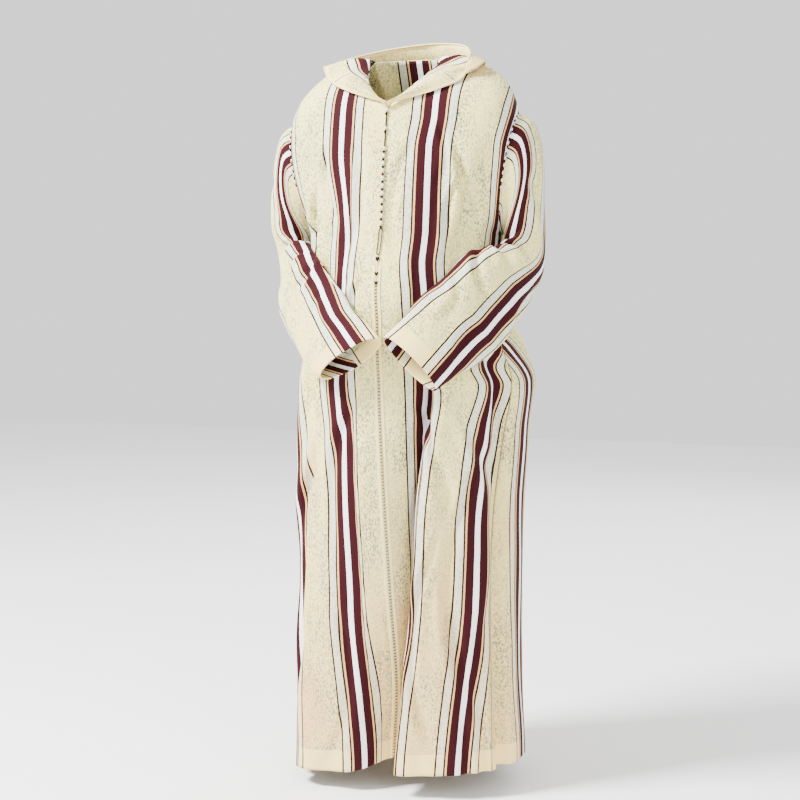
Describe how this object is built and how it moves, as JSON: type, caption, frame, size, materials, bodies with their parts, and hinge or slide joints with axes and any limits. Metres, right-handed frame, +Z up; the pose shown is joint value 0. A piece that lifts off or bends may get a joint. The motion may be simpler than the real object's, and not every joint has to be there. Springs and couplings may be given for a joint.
{
  "type": "hooded kaftan (djellaba)",
  "caption": "Ankle-length hooded kaftan in striped cloth with long sleeves and a row of knot buttons, hollow as when worn with the forearms folded in front.",
  "frame": {"origin": "middle of the neck base, level with the points where the shoulder seams meet the neckline", "axes": "+Z up, -Y the garment's front, +X the wearer's left"},
  "size_m": [0.5593, 0.4281, 1.4402],
  "materials": {
    "body_cloth": "slubby cream cloth with woven burgundy, white, tan and brown stripes along the length",
    "sleeve_cloth": "the same striped cloth, its stripes along the sleeve",
    "hood_cloth": "the same striped cloth, its stripes round the opening of the hood",
    "braid": "narrow cream braid and facing, lightly raised",
    "white_thread": "tight white knots of silky thread",
    "dark_thread": "dark brown silky thread"
  },
  "bodies": {
    "root": {"front_left": "body_cloth", "front_right": "body_cloth", "back": "body_cloth", "sleeve_left": "sleeve_cloth", "sleeve_right": "sleeve_cloth", "hood": "hood_cloth", "facing_left": "braid", "facing_right": "braid", "centre_braid": "braid", "button_01": "white_thread", "button_loop_01": "dark_thread", "button_02": "white_thread", "button_loop_02": "dark_thread", "button_03": "white_thread", "button_loop_03": "dark_thread", "button_04": "white_thread", "button_loop_04": "dark_thread", "button_05": "white_thread", "button_loop_05": "dark_thread", "button_06": "white_thread", "button_loop_06": "dark_thread", "button_07": "white_thread", "button_loop_07": "dark_thread", "button_08": "white_thread", "button_loop_08": "dark_thread", "button_09": "white_thread", "button_loop_09": "dark_thread", "button_10": "white_thread", "button_loop_10": "dark_thread", "button_11": "white_thread", "button_loop_11": "dark_thread", "button_12": "white_thread", "button_loop_12": "dark_thread", "button_13": "white_thread", "button_loop_13": "dark_thread", "braid_loop": "dark_thread", "arrow_knot_1": "dark_thread", "arrow_knot_2": "dark_thread", "arrow_knot_3": "dark_thread"}
  },
  "joints": []
}
